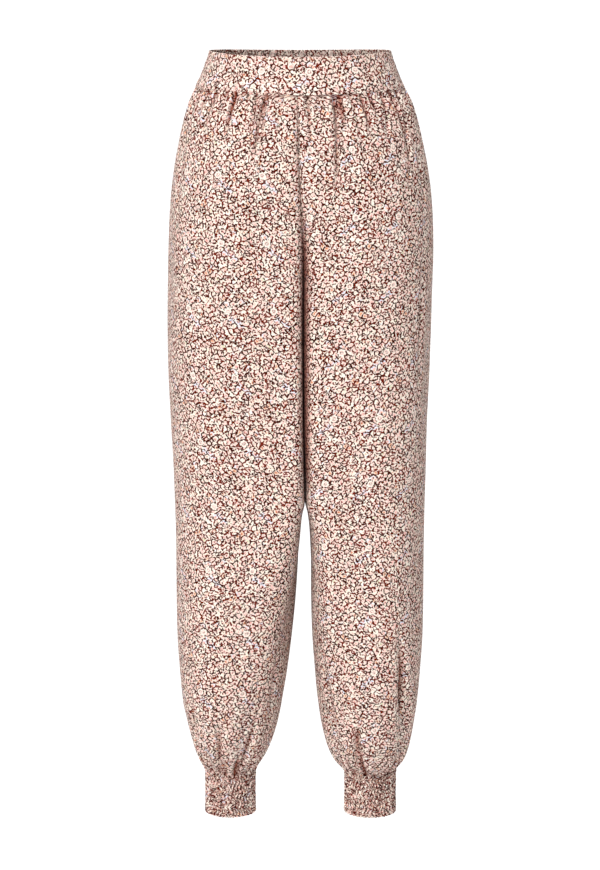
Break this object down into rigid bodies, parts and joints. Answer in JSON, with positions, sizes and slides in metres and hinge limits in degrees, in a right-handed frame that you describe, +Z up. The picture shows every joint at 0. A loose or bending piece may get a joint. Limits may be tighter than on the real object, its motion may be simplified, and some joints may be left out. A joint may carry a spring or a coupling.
{
  "type": "harem pants",
  "caption": "Loose low-crotch harem pants, filled out and hollow: elastic-backed waistband, gathered leg panels and smocked ankle cuffs.",
  "frame": {"origin": "middle of the waist where the wearer holds the garment up, half way up the waistband", "axes": "+Z up, +Y towards the wearer's back, +X towards the wearer's left"},
  "size_m": [0.3459, 0.2625, 1.0203],
  "materials": {
    "printed_viscose": "matt woven viscose with a small floral print"
  },
  "bodies": {
    "root": {"waistband_front": "printed_viscose", "waistband_back": "printed_viscose", "panel_front_left": "printed_viscose", "panel_front_right": "printed_viscose", "panel_back_left": "printed_viscose", "panel_back_right": "printed_viscose", "cuff_left": "printed_viscose", "cuff_right": "printed_viscose"}
  },
  "joints": []
}
